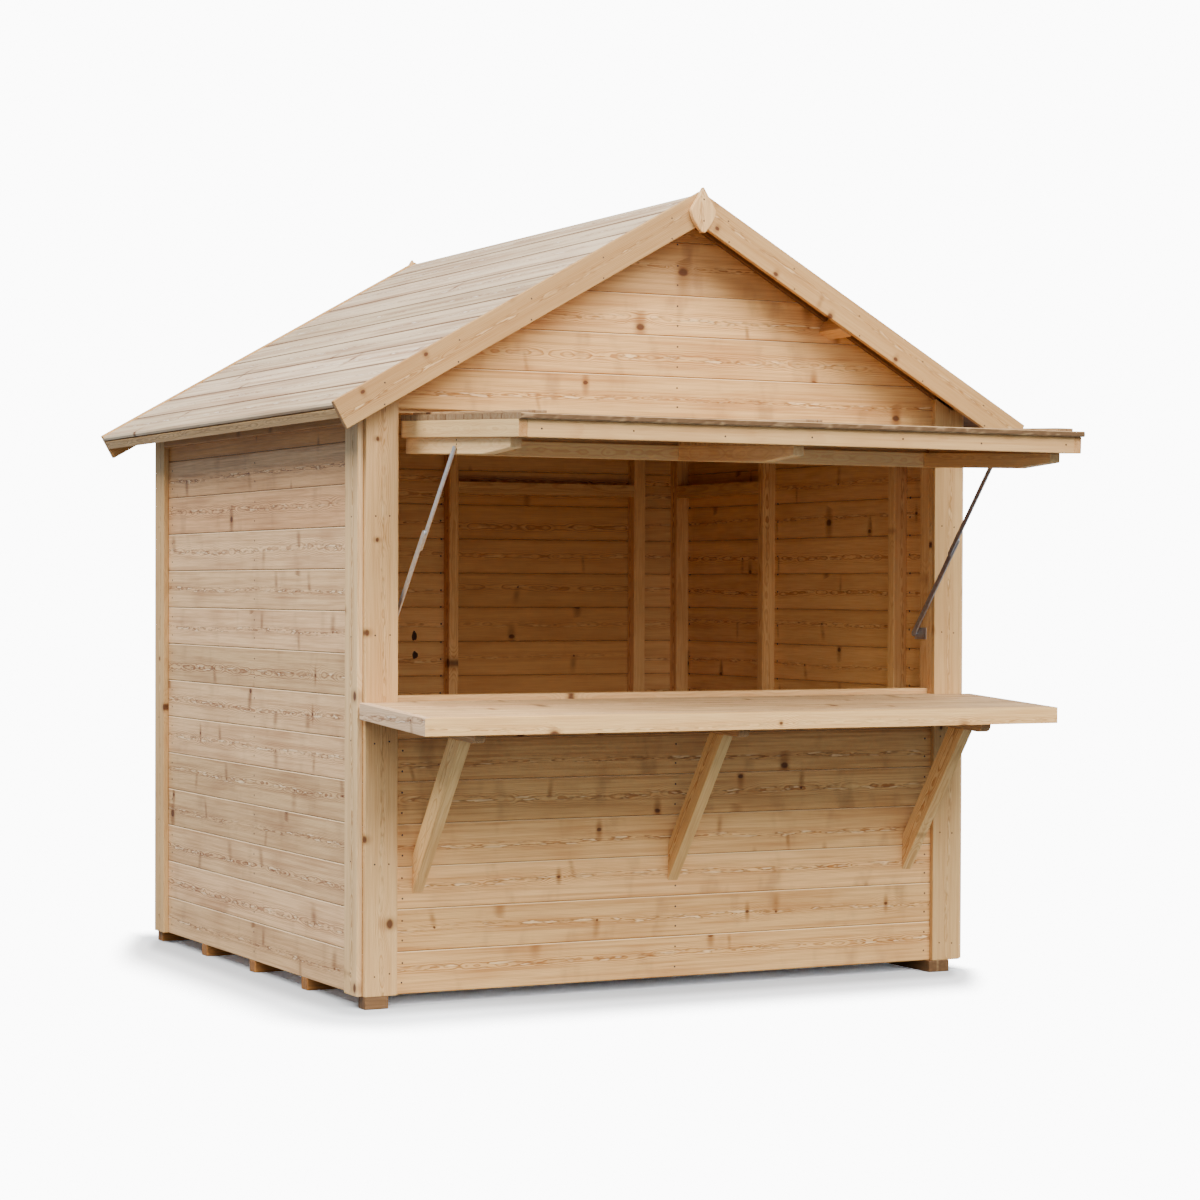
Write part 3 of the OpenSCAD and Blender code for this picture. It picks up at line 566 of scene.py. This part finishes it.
# The front gable's boards above 2.38 m take the darker copy
boarded("front_gable", "stall", PINE, X, Z, BOARD, 0.0, joints=[2.032, 2.167, 2.302, 2.478],
        more=[(GABLE_TOP_PINE, lambda f: f.center.z > 2.38)])
for n, d in (("roof_left", DOWN_L), ("roof_right", DOWN)):
    ends = [Vector(v.co).dot(d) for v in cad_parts[n].data.vertices]
    # Downward faces of the roof boards take the darker copy: painted shade
    boarded(n, "stall", PINE_ROOF, Y, d, ROOF_BOARD, max(ends), 0.0060,
            more=[(UNDERSIDE_SHADE_PINE, lambda f: f.normal.z < -0.5)])
boarded("floor_deck", "stall", PINE, X, Y, DECK_BOARD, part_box("floor_deck")[0][1], 0.0025)
ends = [Vector(v.co).dot(FLAP_S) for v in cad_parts["flap_boards"].data.vertices]
boarded("flap_boards", "flap", PINE_FLAP, X, FLAP_S, BOARD, max(ends), 0.0035, lip=0.0012)
boarded("door_leaf", "door", PINE, X, Z, BOARD, BASE_Z,
        more=[(PINE_DOOR, lambda f: f.normal.y < -0.5)])


def counter(rail=0.034, pitch=0.126):
    """Counter boards inside a mitred edging."""
    whole, parts, ends, nose = solid_bm("counter"), [], [], []
    lo, hi = (Vector(v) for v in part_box("counter"))

    def add(to, cuts, along, across, low=-FAR, high=FAR):
        bm = whole.copy()
        for co, no in cuts:
            cut(bm, co, no)
        soften(bm, 0.0018, 1)
        grain(bm, along, across, low, high)
        to.append(bm)

    right = Vector((hi.x, lo.y, 0))
    turn_l, turn_r = Vector((1, -1, 0)).normalized(), Vector((-1, -1, 0)).normalized()
    x0, x1, y0 = lo.x + rail, hi.x - rail, lo.y + rail
    add(ends, [(X * x0, X), (lo, turn_l)], Y, Z)
    add(ends, [(X * x1, -X), (right, turn_r)], Y, Z)
    add(nose, [(Y * y0, Y), (lo, -turn_l), (right, -turn_r)], X, Z)
    count = round((hi.y - y0) / pitch)
    for k in range(count):
        low, high = (y0 + (hi.y - y0) * i / count for i in (k, k + 1))
        add(parts, [(X * x0, -X), (X * x1, X), (Y * low, -Y), (Y * high, Y)], X, Y, low, high)
    whole.free()
    piece("counter_boards", join(parts), "stall", PINE_TOP, ["counter"])
    piece("counter_ends", join(ends), "stall", PINE_GREY)
    piece("counter_nose", join(nose), "stall", PINE_NOSE)


def verge_shade_strips(depth=0.021, thick=0.020, start=0.06, reach=1.09):
    """Thin strips under the roof on both gables, behind the barge boards, in dark wood: painted shade standing in for
    the shaded soffit there.
    """
    parts = []
    for node, out in (("front_gable", -1), ("back_gable", 1)):
        lo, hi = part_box(node)
        face = lo[1] if out < 0 else hi[1]
        for d in (DOWN_L, DOWN):
            n = Vector((-d.z * math.copysign(1, d.x), 0, abs(d.x)))
            bm = bmesh.new()
            for s in (start, reach):
                for t in (0.001, depth):
                    for y in (face - 0.001 * out, face + thick * out):
                        bm.verts.new(Z * hi[2] + d * (s / abs(d.x)) - n * t + Y * y)
            bmesh.ops.convex_hull(bm, input=bm.verts)
            bmesh.ops.dissolve_limit(bm, angle_limit=0.01, verts=bm.verts, edges=bm.edges)
            soften(bm, 0.002, 1)
            grain(bm, d, n)
            parts.append(bm)
    piece("verge_shade_strips", join(parts), "stall", PINE_SHADE)


counter()
verge_shade_strips()
for n in ("corner_posts", "wall_studs", "door_posts", "head_rails", "header", "sill_rail", "roof_purlins"):
    timber(n, "stall", PINE_IN)
for n in ("jamb_linings", "sill", "front_trims", "back_trims"):
    timber(n, "stall", PINE_EDGE)
timber("counter_arms", "stall", PINE_RAIL)
timber("counter_struts", "stall", PINE_NOSE)
timber("side_trims", "stall", PINE_EDGE, more=[(PINE_TRIM, lambda f: f.center.y < 0)])
# The side friezes take the darkest copy: painted shade under the eave
timber("side_friezes", "stall", EAVE_DEEP_SHADE_PINE)
timber("eave_battens", "stall", PINE_FASCIA)
# The left front barge board takes the darker copy, though it faces as the right one does: painted shade
for n in ("front_barge_left", "front_barge_right", "back_barge_left", "back_barge_right"):
    timber(n, "stall", LEFT_BARGE_SHADE_PINE if n == "front_barge_left" else PINE_BARGE)
timber("finials", "stall", PINE_EDGE, 0.004, Z)
timber("floor_bearers", "stall", BEARER, 0.003)
timber("front_feet", "stall", FOOT, 0.003)
# Under the flap the rails, arms and rear rails take the pale copies, and the arms' faces that don't face left or up the
# brightest: painted light; the rails' front faces keep the frame pine
for n in ("flap_side_rails", "flap_cross_rails"):
    timber(n, "flap", PAINTED_FILL_PINE, more=[(PINE_IN, lambda f: f.normal.dot(FLAP_S) > 0.6)])
timber("flap_arms", "flap", PAINTED_FILL_PINE,
       more=[(PAINTED_BRIGHT_FILL_PINE, lambda f: f.normal.x > -0.5 and f.normal.z < 0.5)])
timber("flap_rear_rails", "flap", PAINTED_BRIGHT_FILL_PINE)
timber("flap_cleats", "flap", PINE_FLAP)
timber("door_battens", "door", PINE_EDGE)

for n in ("flap_hinge_leaves", "stay_post_plates", "door_hinge_plates", "flap_straps", "stay_arm_pins", "door_straps",
          "door_handle", "left_lower_bar", "left_upper_bar", "right_lower_bar", "right_upper_bar"):
    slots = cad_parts[n].data.materials
    if len(slots):
        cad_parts[n].material_slots[0].material = STEEL
    else:
        slots.append(STEEL)


# Nails

def rows(lo, hi, step=BOARD, start=BASE_Z):
    """Two nail heights for each board between lo and hi."""
    out, k = [], 0
    while start + k * step < hi:
        for part in (0.26, 0.74):
            z = start + (k + part) * step
            if lo + 0.01 < z < hi - 0.012:
                out.append(z)
        k += 1
    return out


def jitter(v=0.002):
    """A small random step, so that nails don't stand in a perfect line."""
    return random.uniform(-v, v)


# Outside, into the posts and studs behind the boards
lw, fw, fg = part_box("left_wall"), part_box("front_wall"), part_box("front_gable")
spots = []
for y in (-0.02, -0.86, 0.86):
    for z in rows(lw[0][2], NAIL_TOP):
        spots.append((Vector((lw[0][0], y + jitter(), z + jitter())), -X))
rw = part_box("right_wall")
for y in (-0.682, 0.252, -0.86, 0.86):
    for z in rows(rw[0][2], NAIL_TOP):
        spots.append((Vector((rw[1][0], y + jitter(), z + jitter())), X))
for x in (0.0, -0.985, 0.985):
    for z in rows(fw[0][2], fw[1][2]):
        spots.append((Vector((x + jitter(), fw[0][1], z + jitter())), -Y))
for z in rows(fg[0][2], 2.5, BOARD, fg[0][2]):
    spots.append((Vector((jitter(), fg[0][1], z + jitter())), -Y))
nails("wall_nails", "stall", spots)

# Inside, beside the back wall's posts and the right wall's studs
spots = []
for k in range(1, 26):
    z = BASE_Z + 0.5 * BOARD * k
    if 0.1 < z < 1.70:
        for x in (0.024, -1.035):
            spots.append((Vector((x + jitter(), BACK_FACE, z + jitter(0.003))), -Y))
        for y in (0.920, 0.212, 0.292, -0.642, -0.722):
            spots.append((Vector((RIGHT_FACE, y + jitter(), z + jitter(0.003))), -X))
nails("inner_nails", "stall", spots, 0.0042)


def big_knots(places):
    """Dark loose knots, each a low uneven disc."""
    bm = bmesh.new()
    for co, no, w, h in places:
        u = no.cross(Z).normalized()
        for r0, r1, n0, n1 in ((1.0, 0.72, 0.0, 0.0009), (0.72, 0.0, 0.0009, 0.0006)):
            ring = []
            for i in range(18):
                a = math.tau * i / 18
                wave = 1 + 0.10 * math.sin(3 * a + w * 900) + 0.06 * math.sin(5 * a + 1.0)
                edge = u * math.cos(a) * w * wave + Z * math.sin(a) * h * wave
                ring.append((co + edge * r0 + no * n0, co + edge * r1 + no * n1))
            for p, q in zip(ring, ring[1:] + ring[:1]):
                loop = [p[0], q[0], q[1], p[1]] if r1 else [p[0], q[0], p[1]]
                bm.faces.new([bm.verts.new(c) for c in loop])
            if n0 == 0.0:
                bm.faces.new([bm.verts.new(p[0]) for p in ring])
    bmesh.ops.remove_doubles(bm, verts=bm.verts, dist=1e-6)
    grain(bm, X, Z)
    piece("big_knots", bm, "stall", KNOT_WOOD)


big_knots([(Vector((-0.089, BACK_FACE, 1.143)), -Y, 0.011, 0.019),
           (Vector((-0.086, BACK_FACE, 1.068)), -Y, 0.012, 0.015)])

# Trims, barge boards and finials
ft, st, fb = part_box("front_trims"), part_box("side_trims"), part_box("front_barge_left")
spots = []
for side in (-1, 1):
    for k in range(6):
        z = 0.11 + 0.36 * k + jitter(0.02)
        for x in (1.037, 1.087):
            spots.append((Vector((side * x + jitter(), ft[0][1], z + jitter(0.004))), -Y))
            spots.append((Vector((side * x + jitter(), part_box("back_trims")[1][1], z + jitter(0.004))), Y))
        for y in (-0.955, 0.955):
            spots.append((Vector((side * st[1][0], y + jitter(), z + jitter(0.004))), X * side))
    for k in range(5):
        for drop in (0.030, 0.088):
            out = 0.12 + 0.29 * k + jitter(0.004)
            z = fb[1][2] - out * math.sin(SLOPE) - drop / math.cos(SLOPE)
            place = Vector((side * out * math.cos(SLOPE), 0, z))
            for y, no in ((fb[0][1], -Y), (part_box("back_barge_left")[1][1], Y)):
                spots.append((place + Y * y, no))
for z in (2.530, 2.600):
    spots.append((Vector((0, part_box("finials")[0][1], z)), -Y))
    spots.append((Vector((0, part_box("finials")[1][1], z)), Y))
nails("trim_nails", "stall", spots, 0.0032)

# Screws in the flap's left arm and nails along its front rail
HINGE = Vector((0, -1.008, 1.876))
arm_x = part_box("flap_arms")[0][0]
spots = [(HINGE + X * arm_x + FLAP_S * 0.405 + FLAP_N * n, -X) for n in (-0.078, -0.092, -0.106)]
front = max(Vector(v.co).dot(FLAP_S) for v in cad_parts["flap_cross_rails"].data.vertices)
for k in range(7):
    co = FLAP_S * front + FLAP_N * (HINGE.dot(FLAP_N) - 0.047 + jitter(0.006))
    spots.append((co + X * (-0.93 + 0.31 * k + jitter(0.01)), FLAP_S))
nails("flap_nails", "flap", spots, 0.0034)


# Floor, light and camera

def floor():
    """Pale floor that fades into the white behind it and throws little light back; a painted shadow darkens it towards
    the stall's footprint, and painted light brightens it under the stall.
    """
    g = Graph("studio_floor")
    p = g.add("ShaderNodeTexCoord").outputs["Object"]
    x, y, _ = g.add("ShaderNodeSeparateXYZ", {0: p}).outputs

    def outside(v, edge, fade):
        """How far v lies beyond the edge, as a share of the fade there."""
        return g.math("MAXIMUM", g.math("DIVIDE", g.math("SUBTRACT", v, edge), fade), 0.0)

    west = outside(g.math("MULTIPLY", x, -1.0), 1.14, 0.36)
    south = outside(g.math("MULTIPLY", y, -1.0), 1.02, 0.50)
    east = outside(g.math("MULTIPLY_ADD", south, 0.25, x), 1.06, 0.14)
    north = outside(g.math("MULTIPLY_ADD", west, 0.68, y), 0.90, 0.40)
    u, w = g.math("MAXIMUM", west, east), g.math("MAXIMUM", south, north)
    d = g.math("SQRT", g.math("ADD", g.math("MULTIPLY", u, u), g.math("MULTIPLY", w, w)))
    seen = g.add("ShaderNodeLightPath").outputs["Is Camera Ray"]
    soft = g.noise(p, 0.6, 2.0)
    pale = g.mix(g.ramp(soft, 0.3, 0.7), (1.00, 1.00, 1.00, 1.0), (1.08, 1.08, 1.08, 1.0))
    # Painted shadow: the floor darkens towards the stall's footprint
    pale = g.mix(g.ramp(d, 0.44, 0.10, 0.0, 0.52), pale, (0.10, 0.10, 0.10, 1.0))
    # Painted light: the floor under the stall, in the stall's shade, is made brighter
    under = g.math("MINIMUM", g.ramp(g.math("ABSOLUTE", x), 1.10, 1.02),
                   g.ramp(g.math("ABSOLUTE", y), 0.985, 0.92))
    pale = g.mix(under, pale, (1.80, 1.80, 1.80, 1.0))
    shade = g.add("ShaderNodeBsdfDiffuse", {"Color": g.mix(seen, (0.32, 0.32, 0.32, 1.0), pale), "Roughness": 0.9})
    clear = g.add("ShaderNodeBsdfTransparent")
    mixed = g.add("ShaderNodeMixShader", {0: g.ramp(d, 0.45, 1.2), 1: shade.outputs[0], 2: clear.outputs[0]})
    out = g.add("ShaderNodeOutputMaterial")
    g.tree.links.new(mixed.outputs[0], out.inputs[0])
    bm = bmesh.new()
    bmesh.ops.create_circle(bm, cap_ends=True, segments=64, radius=14.0)
    me = bpy.data.meshes.new("studio_floor")
    bm.to_mesh(me)
    bm.free()
    me.materials.append(g.mat)
    ob = bpy.data.objects.new("studio_floor", me)
    bpy.context.scene.collection.objects.link(ob)


def lamp(name, place, target, size, power, col=(1, 1, 1)):
    """A soft rectangular lamp at place, aimed at target."""
    data = bpy.data.lights.new(name, "AREA")
    data.shape, data.size, data.size_y = "RECTANGLE", size[0], size[1]
    data.energy, data.color = power, col
    ob = bpy.data.objects.new(name, data)
    ob.location = place
    ob.rotation_euler = (Vector(target) - Vector(place)).to_track_quat("-Z", "Y").to_euler()
    bpy.context.scene.collection.objects.link(ob)


def sky():
    """Soft cool light from all round, more of it from behind, and plain white to the camera."""
    world = bpy.data.worlds.new("studio")
    bpy.context.scene.world = world
    world.use_nodes = True
    tree = world.node_tree
    tree.nodes.clear()

    def add(kind, **links):
        n = tree.nodes.new(kind)
        for k, v in links.items():
            tree.links.new(v, n.inputs[int(k[1:])])
        return n

    way = add("ShaderNodeSeparateXYZ", _0=add("ShaderNodeTexCoord").outputs["Generated"])
    level = add("ShaderNodeMapRange", _0=way.outputs["Y"])
    for i, v in ((2, 0.8), (3, 0.34), (4, 0.95)):
        level.inputs[i].default_value = v
    soft = add("ShaderNodeBackground", _1=level.outputs[0])
    soft.inputs[0].default_value = (0.66, 0.82, 1.0, 1.0)
    white = add("ShaderNodeBackground")
    white.inputs[0].default_value = (1.0, 1.0, 1.0, 1.0)
    white.inputs[1].default_value = 11.0
    seen = add("ShaderNodeLightPath").outputs["Is Camera Ray"]
    mixed = add("ShaderNodeMixShader", _0=seen, _1=soft.outputs[0], _2=white.outputs[0])
    add("ShaderNodeOutputWorld", _0=mixed.outputs[0])


floor()
sky()
lamp("key", (1.0, -10.2, 9.5), (0, -1.0, 1.2), (11, 8), 3450)
lamp("left", (-7.3, -1.4, 10.8), (0, 0, 1.2), (7, 7), 2330)
lamp("fill", (-4.5, -13.5, 3.6), (0, -0.5, 1.3), (8, 4), 400, (0.82, 0.91, 1.0))
lamp("room", (0.0, -0.80, 0.80), (0.1, 0.9, 1.35), (1.7, 0.25), 3.3, (1.0, 0.86, 0.52))

# Camera fitted to the photo, with its focal length and optical centre in the photo's pixels
PHOTO, FOCAL, CENTRE, SENSOR = 1200, 2916.07, (611.717, 642.253), 36.0
YAW, PITCH, ROLL = (math.radians(v) for v in (27.1205, 1.0316, 0.2117))
ahead = Vector((math.sin(YAW) * math.cos(PITCH), math.cos(YAW) * math.cos(PITCH), -math.sin(PITCH)))
right = Vector((math.cos(YAW), -math.sin(YAW), 0.0))
up = right.cross(ahead)
cam_x = right * math.cos(ROLL) + up * math.sin(ROLL)
cam_y = up * math.cos(ROLL) - right * math.sin(ROLL)
cam = bpy.data.cameras.new("photo_camera")
cam.sensor_width = SENSOR
cam.lens = FOCAL / PHOTO * SENSOR
cam.shift_x = (PHOTO / 2 - CENTRE[0]) / PHOTO
cam.shift_y = (CENTRE[1] - PHOTO / 2) / PHOTO
cam_ob = bpy.data.objects.new("photo_camera", cam)
turn = Matrix((cam_x, cam_y, -ahead)).transposed().to_4x4()
cam_ob.matrix_world = Matrix.Translation((-4.6062, -9.5286, 1.3267)) @ turn
bpy.context.scene.collection.objects.link(cam_ob)
bpy.context.scene.camera = cam_ob
